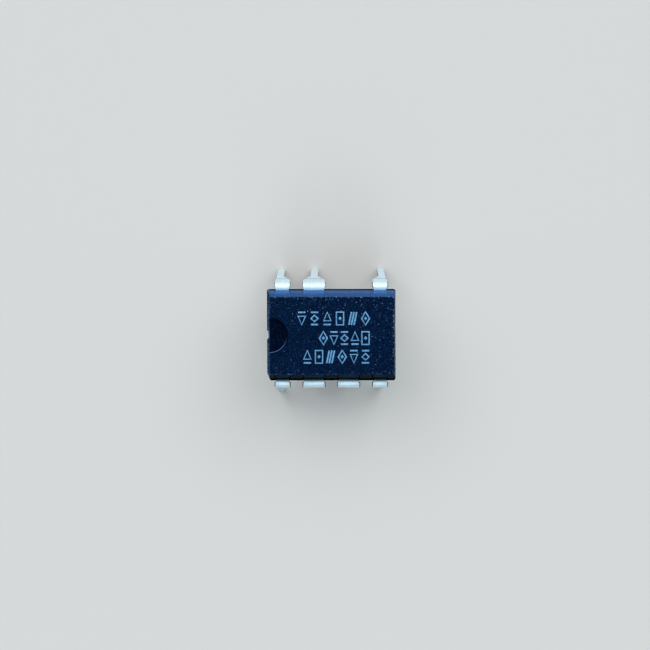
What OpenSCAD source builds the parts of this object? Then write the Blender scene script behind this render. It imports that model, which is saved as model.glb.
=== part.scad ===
// Power control chip in a dual in-line package with eight places and seven leads.
// Lead 6 is left out. Millimetres, +Z up, standing on its lead tips at z = 0.
// Leads 1 to 4 run along -Y from -X to +X, and leads 5, 7 and 8 run back along +Y.

/* [Moulded body] */
// Length of the moulding at the parting plane, without the rim
body_l = 9.25; // [8.8:0.05:10]
// Width of the moulding at the parting plane, without the rim
body_w = 6.55; // [6.3:0.05:6.8]
// Thickness from the underside to the top face
body_t = 3.4; // [3.1:0.05:3.8]
// Draft of the two long sides, in degrees from upright
side_draft = 16.5; // [8:0.5:20]
// Draft of the two ends, in degrees from upright
end_draft = 4.5; // [2:0.5:10]
// How far the trimmed rim at the parting plane stands proud
rim_out = 0.08; // [0.03:0.01:0.12]
// Corner radius of the rim and the parting outline, seen from above
corner_r = 0.16; // [0.05:0.01:0.3]
// How far the upper half sits off the lower one, away from the notched end
half_shift = 0.06; // [0:0.01:0.07]

/* [End notch] */
// Radius of the half-round notch at the top face
notch_r = 1.3; // [0.8:0.02:1.5]
// Radius of the notch floor
notch_floor_r = 1.2; // [0.7:0.02:1.4]
// Depth of the notch
notch_depth = 0.35; // [0.15:0.05:0.6]
// Distance of the notch centre outside the top face's end
notch_out = 0; // [0:0.01:0.3]

/* [Marks of moulding and trimming] */
// Radius of each ejector pin mark on the underside
ejector_r = 0.75; // [0.4:0.05:1]
// Depth of the ejector pin marks
ejector_depth = 0.06; // [0.03:0.01:0.15]
// Distance between the two ejector pin marks
ejector_pitch = 5; // [3:0.1:6]
// Width of the broken gate scar in the rim at the notched end
scar_w = 0.7; // [0.5:0.05:1.4]
// Depth of the gate scar
scar_depth = 0.14; // [0.1:0.01:0.2]
// Height of the gate scar
scar_h = 0.5; // [0.3:0.05:1]
// Length of the chipped corner beside lead 1, along the notched end
chip_y = 0.56; // [0.2:0.02:0.7]
// Length of the same chip along the side
chip_x = 0.25; // [0.1:0.01:0.35]

/* [Lead frame] */
// Thickness of the lead frame sheet
lead_t = 0.25; // [0.2:0.01:0.3]
// Distance from lead to lead along a row
pitch = 2.54; // [2.5:0.02:2.6]
// Distance between the two rows where the leads turn down
row_span = 7.62; // [7.5:0.02:7.9]
// Inside radius of each lead's bend
bend_r = 0.25; // [0.2:0.01:0.3]
// Length of a lead below the board plane
leg_l = 3.3; // [2.5:0.1:4]
// Height of the underside above the board plane
standoff = 0.8; // [0.4:0.05:1.2]
// Width of a lead below the board plane
leg_w = 0.54; // [0.4:0.02:0.6]
// Width of a lead at its square-cut tip
tip_w = 0.28; // [0.15:0.01:0.35]
// Length of the narrowing at the tip
tip_l = 0.22; // [0.1:0.01:0.4]
// Shoulder width of an inner lead
shoulder_w = 1.62; // [1.47:0.01:1.8]
// Shoulder width of a lead at the end of a row
end_shoulder_w = 1.1; // [0.95:0.01:1.3]
// How far an end lead's shoulder reaches past its leg on the outer side
end_step = 0.05; // [0.05:0.01:0.2]
// How much narrower the neck is than the shoulder, on each side
neck_inset = 0.07; // [0.03:0.01:0.16]
// Length over which the neck widens to the shoulder
flare_l = 0.2; // [0.1:0.01:0.3]
// Width of the bulge of a lead's rounded taper
bulge_w = 0.07; // [0:0.01:0.1]
// Height over which an end lead's outer step runs out
step_l = 0.9; // [0.5:0.05:1.2]
// Radius of the hole that locks a lead in the moulding
lock_r = 0.2; // [0.1:0.01:0.25]
// Distance of the lock holes inside the body's side
lock_in = 0.65; // [0.5:0.05:0.8]

/* [Splay of the leads] */
// Splay of lead 1, in degrees
splay_1 = 8.5; // [0:0.5:15]
// Splay of leads 2, 3 and 4, in degrees
splay_front = 5; // [0:0.5:15]
// Splay of lead 5, in degrees
splay_5 = 10; // [0:0.5:15]
// Splay of leads 7 and 8, in degrees
splay_rear = 9; // [0:0.5:15]

/* [Die pads] */
// Margin from the ends of the body to the pads
pad_margin = 0.55; // [0.4:0.05:0.8]
// Gap between neighbouring pieces of the lead frame
frame_gap = 0.4; // [0.3:0.02:0.5]
// Distance from the body's rear side to both pads
pad_rear = 1.15; // [1.1:0.05:1.3]
// Distance from the body's front side to the power switch's pad
switch_front = 2.05; // [1.85:0.05:2.35]
// Distance from the body's front side to the controller's pad
control_front = 2.55; // [2.35:0.05:3.1]
// Width of the bar that held each pad from the end
tie_w = 0.4; // [0.3:0.02:0.5]
// Place of the controller pad's tie bar across the body
tie_y = 0.6; // [0.4:0.05:0.8]

/* [Dies] */
// Thickness of both dies
die_t = 0.25; // [0.2:0.01:0.3]
// Length of the power switch die
switch_l = 2.8; // [2.2:0.05:3]
// Width of the power switch die
switch_w = 2.1; // [1.6:0.05:2.3]
// Length of the controller die
control_l = 1.7; // [1.4:0.05:1.8]
// Width of the controller die
control_w = 1.4; // [1:0.05:1.6]
// Thickness of the solder under the power switch
solder_t = 0.05; // [0.03:0.01:0.08]
// Thickness of the adhesive under the controller
adhesive_t = 0.03; // [0.02:0.01:0.06]
// How far solder and adhesive show round a die
attach_out = 0.08; // [0.03:0.01:0.12]

/* [Bond wires] */
// Diameter of the two power wires
power_wire_d = 0.2; // [0.12:0.01:0.25]
// Diameter of the signal wires
wire_d = 0.05; // [0.04:0.005:0.06]
// Diameter of the ball at a signal wire's first bond
ball_d = 0.12; // [0.1:0.01:0.14]
// Height of the ball
ball_h = 0.04; // [0.03:0.005:0.05]
// Rise of the wires above the line between their bonds
wire_rise = 0.4; // [0.3:0.02:0.5]
// Distance of each bond inside the edge that it sits on
bond_in = 0.25; // [0.2:0.01:0.3]

/* [Hidden] */
$fn = 48;

// Overshoot of a cutting shape past what it cuts
over = 0.5;
// Overlap of shapes that make up one stamping
weld = 0.1;
// Number of straight steps in a lead's rounded taper
taper_steps = 6;

// Heights
underside_z = leg_l + standoff;
top_z = underside_z + body_t;
mid_z = underside_z + body_t / 2;
frame_z = mid_z - lead_t / 2;
frame_top_z = mid_z + lead_t / 2;
half_t = (body_t - lead_t) / 2;

// Top face and rim
top_l = body_l - 2 * half_t * tan(end_draft);
top_w = body_w - 2 * half_t * tan(side_draft);
rim_l = body_l + 2 * rim_out;
rim_w = body_w + 2 * rim_out;

// Centre of each lead's bend
bend_y = row_span / 2 - lead_t / 2 - bend_r;
bend_z = frame_z - bend_r;

// Pads of the lead frame: [low x, low y, high x, high y]
pad_top_y = body_w / 2 - pad_rear;
ground_neck_x = lead_x(3) - neck_w(3)[0];
switch_pad = [
    pad_margin - body_l / 2, switch_front - body_w / 2,
    ground_neck_x - frame_gap, pad_top_y
];
control_pad = [
    switch_pad[2] + frame_gap, control_front - body_w / 2,
    body_l / 2 - pad_margin, pad_top_y
];
// Inner end of the front leads' posts
post_y = switch_pad[1] - frame_gap;

// Dies: [low x, low y] of each
switch_at = [
    (switch_pad[0] + switch_pad[2] - switch_l) / 2,
    (switch_pad[1] + switch_pad[3] - switch_w) / 2
];
control_at = [
    (control_pad[0] + control_pad[2] - control_l) / 2,
    (control_pad[1] + control_pad[3] - control_w) / 2
];
switch_top = frame_top_z + solder_t + die_t;
control_top = frame_top_z + adhesive_t + die_t;

// Place of lead n along its row
function lead_x(n) = (n <= 4 ? n - 2.5 : 6.5 - n) * pitch;

// Is lead n at the end of its row?
function at_end(n) = n == 1 || n == 4 || n == 5 || n == 8;

// Reach of lead n's shoulder from its centre line: [towards -X, towards +X]
function shoulder(n) =
    !at_end(n) ? [shoulder_w / 2, shoulder_w / 2]
    : lead_x(n) < 0 ? [leg_w / 2 + end_step, end_shoulder_w - leg_w / 2 - end_step]
    : [end_shoulder_w - leg_w / 2 - end_step, leg_w / 2 + end_step];

// Reach of lead n's neck from its centre line
function neck_w(n) = [shoulder(n)[0] - neck_inset, shoulder(n)[1] - neck_inset];

// Points of a taper that narrows from w at depth v0 to the leg at depth v1, bulging outwards
function taper(w, v0, v1, bulge) = [
    for (i = [0 : taper_steps])
        let (t = i / taper_steps)
            [w + (leg_w / 2 - w) * t + 4 * bulge * t * (1 - t), v0 + (v1 - v0) * t]
];

// One side of a lead's front outline, from the bend's end down to the tip
function leg_side(w, outer, board_v, leg_v) = concat(
    [[w, 0]],
    outer ? [[w, board_v / 8], [leg_w / 2, board_v / 8 + step_l]]
    : taper(w, board_v / 8, board_v, bulge_w),
    [[leg_w / 2, leg_v - tip_l], [tip_w / 2, leg_v]]
);

function flip_x(points) = [for (i = [len(points) - 1 : -1 : 0]) [-points[i][0], points[i][1]]];

// Lead n made for the +Y row, from root_y outwards: neck, bend and splayed leg
module bent_lead(n, splay, root_y) {
    reach = shoulder(n);
    neck = neck_w(n);
    rim_y = rim_w / 2;
    leg_v = (bend_z + bend_r * sin(splay)) / cos(splay);
    board_v = leg_v - leg_l / cos(splay);
    outer_left = at_end(n) && lead_x(n) < 0;
    outer_right = at_end(n) && lead_x(n) > 0;
    intersection() {
        union() {
            translate([-reach[0], root_y, frame_z])
                cube([reach[0] + reach[1], bend_y - root_y, lead_t]);
            translate([-reach[0], bend_y, bend_z])
                rotate([90, 0, 90])
                    rotate([0, 0, splay])
                        rotate_extrude(angle = 90 - splay)
                            translate([bend_r, 0])
                                square([lead_t, reach[0] + reach[1]]);
        }
        translate([0, 0, bend_z - over])
            linear_extrude(2 * over + bend_r + lead_t)
                polygon([
                    [-neck[0], root_y - over], [-neck[0], rim_y],
                    [-reach[0], rim_y + flare_l], [-reach[0], row_span],
                    [reach[1], row_span], [reach[1], rim_y + flare_l],
                    [neck[1], rim_y], [neck[1], root_y - over]
                ]);
    }
    translate([0, bend_y, bend_z])
        rotate([splay - 90, 0, 0])
            translate([0, 0, bend_r])
                linear_extrude(lead_t)
                    polygon(concat(
                        leg_side(reach[1], outer_right, board_v, leg_v),
                        flip_x(leg_side(reach[0], outer_left, board_v, leg_v))
                    ));
}

// Lead n at its place in its row
module lead(n, splay, root_y = pad_top_y - weld) {
    translate([lead_x(n), 0, 0])
        mirror([0, n <= 4 ? 1 : 0, 0])
            bent_lead(n, splay, root_y);
}

// Flat stretch of the lead frame inside the moulding, from an outline in plan
module sheet_part() {
    translate([0, 0, frame_z])
        linear_extrude(lead_t)
            children();
}

// Hole in the middle of lead n's neck that the moulding fills
module lock_hole(n) {
    side = n <= 4 ? -1 : 1;
    neck_mid = lead_x(n) + (neck_w(n)[1] - neck_w(n)[0]) / 2;
    translate([neck_mid, side * (body_w / 2 - lock_in), frame_z - over])
        cylinder(r = lock_r, h = lead_t + 2 * over);
}

// Flat pad between two corners
module pad(p) {
    translate([p[0], p[1], frame_z])
        cube([p[2] - p[0], p[3] - p[1], lead_t]);
}

// Lead 1 carries the power switch's source current
module lead_1() {
    x = lead_x(1);
    color("gainsboro")
        difference() {
            union() {
                lead(1, splay_1);
                sheet_part()
                    polygon([
                        [x - neck_w(1)[0], -pad_top_y], [x - neck_w(1)[0], post_y],
                        [x + pitch / 2, post_y], [x + neck_w(1)[1], -pad_top_y]
                    ]);
            }
            lock_hole(1);
        }
}

// Lead 2 carries the line-sensing signal to a post beside the ground lead
module lead_2() {
    x = lead_x(2);
    color("gainsboro")
        difference() {
            union() {
                lead(2, splay_front);
                sheet_part()
                    polygon([
                        [x - neck_w(2)[0], -pad_top_y], [x - neck_w(2)[0], post_y],
                        [ground_neck_x - frame_gap, post_y], [x + neck_w(2)[1], -pad_top_y]
                    ]);
            }
            lock_hole(2);
        }
}

// Lead 3 is one stamping with the controller's pad and its tie bar
module ground_lead_frame() {
    x = lead_x(3);
    color("gainsboro")
        difference() {
            union() {
                lead(3, splay_front);
                sheet_part()
                    translate([x - neck_w(3)[0], -pad_top_y])
                        square([neck_w(3)[0] + neck_w(3)[1], control_pad[1] + pad_top_y + weld]);
                pad(control_pad);
                pad([
                    control_pad[2] - weld, tie_y - tie_w / 2,
                    rim_l / 2, tie_y + tie_w / 2
                ]);
            }
            lock_hole(3);
        }
}

// Lead 4 carries the feedback signal
module lead_4() {
    x = lead_x(4);
    color("gainsboro")
        difference() {
            union() {
                lead(4, splay_front);
                sheet_part()
                    polygon([
                        [x - neck_w(4)[0], -pad_top_y], [x - pitch / 3, control_pad[1] - frame_gap],
                        [x + neck_w(4)[1], control_pad[1] - frame_gap], [x + neck_w(4)[1], -pad_top_y]
                    ]);
            }
            lock_hole(4);
        }
}

// Lead 5 carries the supply, on a short post that widens inwards
module lead_5() {
    x = lead_x(5);
    root = pad_top_y + frame_gap;
    color("gainsboro")
        union() {
            lead(5, splay_5, root);
            sheet_part()
                polygon([
                    [x - neck_w(5)[0] - frame_gap, root], [x - neck_w(5)[0], body_w / 2 - lock_r],
                    [x, body_w / 2 - lock_r], [x, root]
                ]);
        }
}

// Leads 7 and 8 are one stamping with the power switch's pad and its tie bar
module drain_lead_frame() {
    color("gainsboro")
        difference() {
            union() {
                lead(7, splay_rear);
                lead(8, splay_rear);
                pad(switch_pad);
                pad([
                    scar_depth - rim_l / 2, -tie_w / 2,
                    switch_pad[0] + weld, tie_w / 2
                ]);
            }
            lock_hole(7);
            lock_hole(8);
        }
}

// Solder that holds the power switch on its pad
module switch_solder() {
    color("silver")
        translate([switch_at[0] - attach_out, switch_at[1] - attach_out, frame_top_z])
            cube([switch_l + 2 * attach_out, switch_w + 2 * attach_out, solder_t]);
}

// Power switch
module switch_die() {
    color("slategray")
        translate([switch_at[0], switch_at[1], frame_top_z + solder_t])
            cube([switch_l, switch_w, die_t]);
}

// Conductive adhesive that holds the controller on its pad
module control_adhesive() {
    color("lightgray")
        translate([control_at[0] - attach_out, control_at[1] - attach_out, frame_top_z])
            cube([control_l + 2 * attach_out, control_w + 2 * attach_out, adhesive_t]);
}

// Controller
module control_die() {
    color("slategray")
        translate([control_at[0], control_at[1], frame_top_z + adhesive_t])
            cube([control_l, control_w, die_t]);
}

// Wire of diameter d from p to q, one arc that ends flat on both surfaces
module bond_wire(p, q, d, rise, ball) {
    span = norm([q[0] - p[0], q[1] - p[1]]);
    drop = q[2] - p[2];
    chord = norm([span, drop]);
    slope = atan2(drop, span);
    arc_r = (chord * chord / 4 + rise * rise) / (2 * rise);
    half = asin(chord / 2 / arc_r);
    below = asin(min(1, 2 * d / arc_r));
    centre = [
        span / 2 + (arc_r - rise) * sin(slope),
        drop / 2 - (arc_r - rise) * cos(slope)
    ];
    translate(p)
        rotate([90, 0, atan2(q[1] - p[1], q[0] - p[0])]) {
            intersection() {
                translate([centre[0], centre[1], 0])
                    rotate([0, 0, 90 + slope - half - below])
                        rotate_extrude(angle = 2 * (half + below))
                            translate([arc_r, 0])
                                circle(d / 2);
                translate([0, 0, -d])
                    linear_extrude(2 * d)
                        polygon([
                            [-over, 0], [span / 2, 0], [span / 2, drop],
                            [span + over, drop], [span + over, rise + over], [-over, rise + over]
                        ]);
            }
            if (ball)
                rotate([-90, 0, 0])
                    cylinder(d = ball_d, h = ball_h);
        }
}

// Both source wires run side by side from the power switch to lead 1
module source_wire(side) {
    bond_wire(
        [switch_at[0] + bond_in + side * 2 * power_wire_d, switch_at[1] + bond_in, switch_top],
        [lead_x(1) + bond_in + side * 2 * power_wire_d, post_y - bond_in, frame_top_z],
        power_wire_d, wire_rise + power_wire_d, false
    );
}

module source_wire_left() {
    color("whitesmoke")
        source_wire(0);
}

module source_wire_right() {
    color("whitesmoke")
        source_wire(1);
}

// Wire of a signal, from the controller to another bond
module signal_wire(from, to, rise) {
    color("gold")
        bond_wire(
            [control_at[0] + from[0], control_at[1] + from[1], control_top],
            to, wire_d, rise, true
        );
}

// Current sense, from the power switch's source to the controller
module sense_wire() {
    signal_wire(
        [bond_in, control_w / 2],
        [switch_at[0] + switch_l - bond_in, switch_at[1] + switch_w / 2, switch_top],
        wire_rise
    );
}

// Drive, from the controller to the power switch's gate
module gate_wire() {
    signal_wire(
        [bond_in, control_w - bond_in],
        [switch_at[0] + switch_l - bond_in, switch_at[1] + switch_w - bond_in, switch_top],
        wire_rise
    );
}

// Start-up supply, from the controller to the power switch's pad
module startup_wire() {
    signal_wire(
        [2 * bond_in, control_w - bond_in / 2],
        [switch_pad[2] - bond_in, switch_pad[3] - bond_in, frame_top_z],
        wire_rise
    );
}

// Line sensing, from the controller to lead 2
module line_sense_wire() {
    signal_wire(
        [bond_in, bond_in],
        [ground_neck_x - frame_gap - bond_in * 1.6, post_y - bond_in / 2, frame_top_z],
        wire_rise
    );
}

// Ground, from the controller down to its own pad
module ground_wire() {
    signal_wire(
        [control_l / 2, bond_in],
        [control_at[0] + control_l / 2, control_at[1] - bond_in, frame_top_z],
        wire_rise / 2
    );
}

// Feedback, from the controller to lead 4
module feedback_wire() {
    signal_wire(
        [control_l - bond_in, bond_in],
        [lead_x(4), control_pad[1] - frame_gap - bond_in, frame_top_z],
        wire_rise
    );
}

// Supply, from the controller to lead 5
module supply_wire() {
    signal_wire(
        [control_l - bond_in, control_w - bond_in],
        [lead_x(5) - bond_in, pad_top_y + frame_gap + bond_in / 2, frame_top_z],
        wire_rise
    );
}

// Rectangle with round corners, l by w
module round_plan(l, w) {
    dx = l / 2 - corner_r;
    dy = w / 2 - corner_r;
    union() {
        square([l, 2 * dy], center = true);
        square([2 * dx, w], center = true);
        for (x = [-dx, dx], y = [-dy, dy])
            translate([x, y])
                circle(corner_r);
    }
}

// Upper half of the moulding, drafted on four sides, on the plane z = 0
module drafted_half() {
    intersection() {
        rotate([90, 0, 90])
            linear_extrude(body_l + over, center = true)
                polygon([
                    [-body_w / 2, 0], [body_w / 2, 0],
                    [top_w / 2, half_t], [-top_w / 2, half_t]
                ]);
        rotate([90, 0, 0])
            linear_extrude(body_w + over, center = true)
                polygon([
                    [-body_l / 2, 0], [body_l / 2, 0],
                    [top_l / 2, half_t], [-top_l / 2, half_t]
                ]);
        translate([0, 0, -over])
            linear_extrude(half_t + 2 * over)
                round_plan(body_l, body_w);
    }
}

// Scar in the rim where the gate broke off
module gate_scar() {
    translate([-rim_l / 2, 0, mid_z - scar_h / 2])
        linear_extrude(scar_h)
            polygon([
                [-over, -scar_w / 2 - over], [0, -scar_w / 2], [scar_depth, -tie_w / 2],
                [scar_depth, tie_w / 2], [0, scar_w / 2], [-over, scar_w / 2 + over]
            ]);
}

// Chip at the corner beside lead 1, which runs out up and down the drafted corner edges
module corner_chip() {
    translate([-rim_l / 2, -rim_w / 2, underside_z])
        linear_extrude(body_t)
            polygon([
                [-chip_x, 2 * chip_y], [2 * chip_x, -chip_y], [-chip_x, -chip_y]
            ]);
}

// Half-round notch at the end between leads 1 and 8
module end_notch() {
    translate([half_shift - top_l / 2 - notch_out, 0, top_z - notch_depth])
        cylinder(r1 = notch_floor_r, r2 = notch_r, h = notch_depth);
}

module ejector_marks() {
    for (x = [-ejector_pitch / 2, ejector_pitch / 2])
        translate([x, 0, underside_z - over])
            cylinder(r = ejector_r, h = over + ejector_depth);
}

// Everything that the moulding encloses
module embedded() {
    lead_1();
    lead_2();
    ground_lead_frame();
    lead_4();
    lead_5();
    drain_lead_frame();
    switch_solder();
    switch_die();
    control_adhesive();
    control_die();
    source_wire_left();
    source_wire_right();
    sense_wire();
    gate_wire();
    startup_wire();
    line_sense_wire();
    ground_wire();
    feedback_wire();
    supply_wire();
}

// Epoxy moulding, with the exact space of everything in it
module mould_body() {
    color("midnightblue")
        difference() {
            union() {
                translate([half_shift, 0, frame_top_z])
                    drafted_half();
                translate([0, 0, frame_z])
                    mirror([0, 0, 1])
                        drafted_half();
                translate([0, 0, frame_z])
                    linear_extrude(lead_t)
                        round_plan(rim_l, rim_w);
            }
            end_notch();
            ejector_marks();
            gate_scar();
            corner_chip();
            embedded();
        }
}

mould_body();
lead_1();
lead_2();
ground_lead_frame();
lead_4();
lead_5();
drain_lead_frame();
switch_solder();
switch_die();
control_adhesive();
control_die();
source_wire_left();
source_wire_right();
sense_wire();
gate_wire();
startup_wire();
line_sense_wire();
ground_wire();
feedback_wire();
supply_wire();
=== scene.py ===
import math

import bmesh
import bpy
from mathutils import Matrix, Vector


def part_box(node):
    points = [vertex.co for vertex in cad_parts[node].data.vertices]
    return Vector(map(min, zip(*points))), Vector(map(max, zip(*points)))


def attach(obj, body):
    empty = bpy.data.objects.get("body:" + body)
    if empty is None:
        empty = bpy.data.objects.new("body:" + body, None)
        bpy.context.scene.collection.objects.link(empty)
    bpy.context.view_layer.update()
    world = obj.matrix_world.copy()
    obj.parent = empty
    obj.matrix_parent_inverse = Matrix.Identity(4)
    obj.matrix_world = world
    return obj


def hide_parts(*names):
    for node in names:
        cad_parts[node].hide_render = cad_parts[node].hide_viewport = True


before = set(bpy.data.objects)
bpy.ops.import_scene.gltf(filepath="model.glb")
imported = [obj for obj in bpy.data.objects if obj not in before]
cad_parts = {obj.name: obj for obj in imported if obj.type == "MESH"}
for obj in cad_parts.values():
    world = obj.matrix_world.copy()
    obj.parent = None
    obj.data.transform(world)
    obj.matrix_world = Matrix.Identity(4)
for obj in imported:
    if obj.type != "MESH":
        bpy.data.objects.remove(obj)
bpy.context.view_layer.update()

# Looks of a power control chip in a dual in-line package, with lead 6 left out.
# Metres, +Z up, standing on its lead tips at z = 0, with the notched end towards -X.
# Leads 1 to 4 run along -Y from -X to +X, and leads 5, 7 and 8 run back along +Y.

MM = 0.001
body_low, body_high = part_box("mould_body")

# Lead frame, in millimetres
PITCH = 2.54
ROW_SPAN = 7.62
SHEET_T = 0.25
BEND_R = 0.25
LEG_L = 3.3
LEG_W = 0.54
TIP_W = 0.28
TIP_L = 0.22
SHOULDER_W = 1.62
END_SHOULDER_W = 1.1
END_STEP = 0.05
NECK_INSET = 0.07
FLARE_L = 0.2
BULGE = 0.07
STEP_L = 0.9
TAPER_STEPS = 12
SPLAY = {1: 8.5, 2: 5, 3: 5, 4: 5, 5: 10, 7: 9, 8: 9}
LOCK_R = 0.2
LOCK_IN = 0.65
# Rounding that punching leaves along the sheet's edges, and the coat of tin over it
SHEET_ROUND = 0.055
# Stubs at a shoulder's sides, where the bar that held the leads in line was sheared off
STUB_OUT = 0.04
STUB_IN = 0.03
STUB_START = -0.08
STUB_L = 0.5
STUB_T = 0.16
# Height and half height of a duller band painted across the legs just above their taper, as a dark
# reflection
DULL_BAND_Z = 4.4
DULL_BAND_HALF = 0.24
# From where and how far out resin has bled on to the leads' roots, before its edge turns ragged
BLEED_FROM = 3
BLEED_REAR = 3.33
BLEED_FRONT = 3.37
# Edges of the moulding's top face
TOP_X = 4.5
TOP_Y = 2.8

# Places that the frame gives, in millimetres
RIM_Y = body_high.y / MM
PARTING_Y = RIM_Y - 0.08
SHEET_Z = (body_low.z + body_high.z) / 2 / MM
MID_R = BEND_R + SHEET_T / 2
BEND_Y = ROW_SPAN / 2 - MID_R
BEND_Z = SHEET_Z - MID_R

# Pads and posts inside the moulding, in millimetres
FRAME_GAP = 0.4
PAD_TOP = PARTING_Y - 1.15
SWITCH_PAD_LOW = 2.05 - PARTING_Y
CONTROL_PAD_LOW = 2.55 - PARTING_Y
PAD_END = body_high.x / MM - 0.08 - 0.55
TIE_HALF = 0.2
TIE_Y = 0.6
GATE_SCAR = 0.14


def linear(colour):
    """Turns an sRGB hex colour into linear RGBA."""
    parts = [int(colour[i:i + 2], 16) / 255 for i in (1, 3, 5)]
    return [c / 12.92 if c <= 0.04045 else ((c + 0.055) / 1.055) ** 2.4 for c in parts] + [1]


def add(tree, kind, inputs=None, **settings):
    """Adds a node with its settings, and fills or links its inputs by name or number."""
    made = tree.nodes.new(kind)
    for name, value in settings.items():
        setattr(made, name, value)
    for name, value in (inputs or {}).items():
        if isinstance(value, bpy.types.NodeSocket):
            tree.links.new(value, made.inputs[name])
        else:
            made.inputs[name].default_value = value
    return made


def maths(tree, operation, *values):
    """The result of a Math node on one, two or three values."""
    return add(tree, "ShaderNodeMath", dict(enumerate(values)), operation=operation).outputs[0]


def ramp(tree, value, given, wanted=(0.0, 1.0)):
    """A value of the given range, mapped to the wanted range and held at its ends."""
    return add(tree, "ShaderNodeMapRange", {
        "Value": value, "From Min": given[0], "From Max": given[1],
        "To Min": wanted[0], "To Max": wanted[1],
    }).outputs["Result"]


def mixed(tree, factor, first, second):
    """A colour between two colours."""
    return add(tree, "ShaderNodeMix", {
        "Factor": factor, "A": first, "B": second,
    }, data_type="RGBA").outputs["Result"]


def noise(tree, where, grain_mm, detail=2.0):
    """Noise with grains of a real size, in millimetres."""
    return add(tree, "ShaderNodeTexNoise", {
        "Vector": where, "Scale": 1 / (grain_mm * MM), "Detail": detail,
    }).outputs["Fac"]


def round_edges(bm, edges, radius_mm, segments):
    """Rounds edges of a bmesh by a radius in millimetres."""
    bmesh.ops.bevel(bm, geom=edges, offset=radius_mm * MM, segments=segments, profile=0.5,
                    affect="EDGES", clamp_overlap=True)


def new_material(name):
    """An empty material, its tree and its Principled shader, which is linked to the output."""
    made = bpy.data.materials.new(name)
    made.use_nodes = True
    tree = made.node_tree
    tree.nodes.clear()
    shader = add(tree, "ShaderNodeBsdfPrincipled")
    add(tree, "ShaderNodeOutputMaterial", {"Surface": shader.outputs["BSDF"]})
    return made, tree, shader


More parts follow.
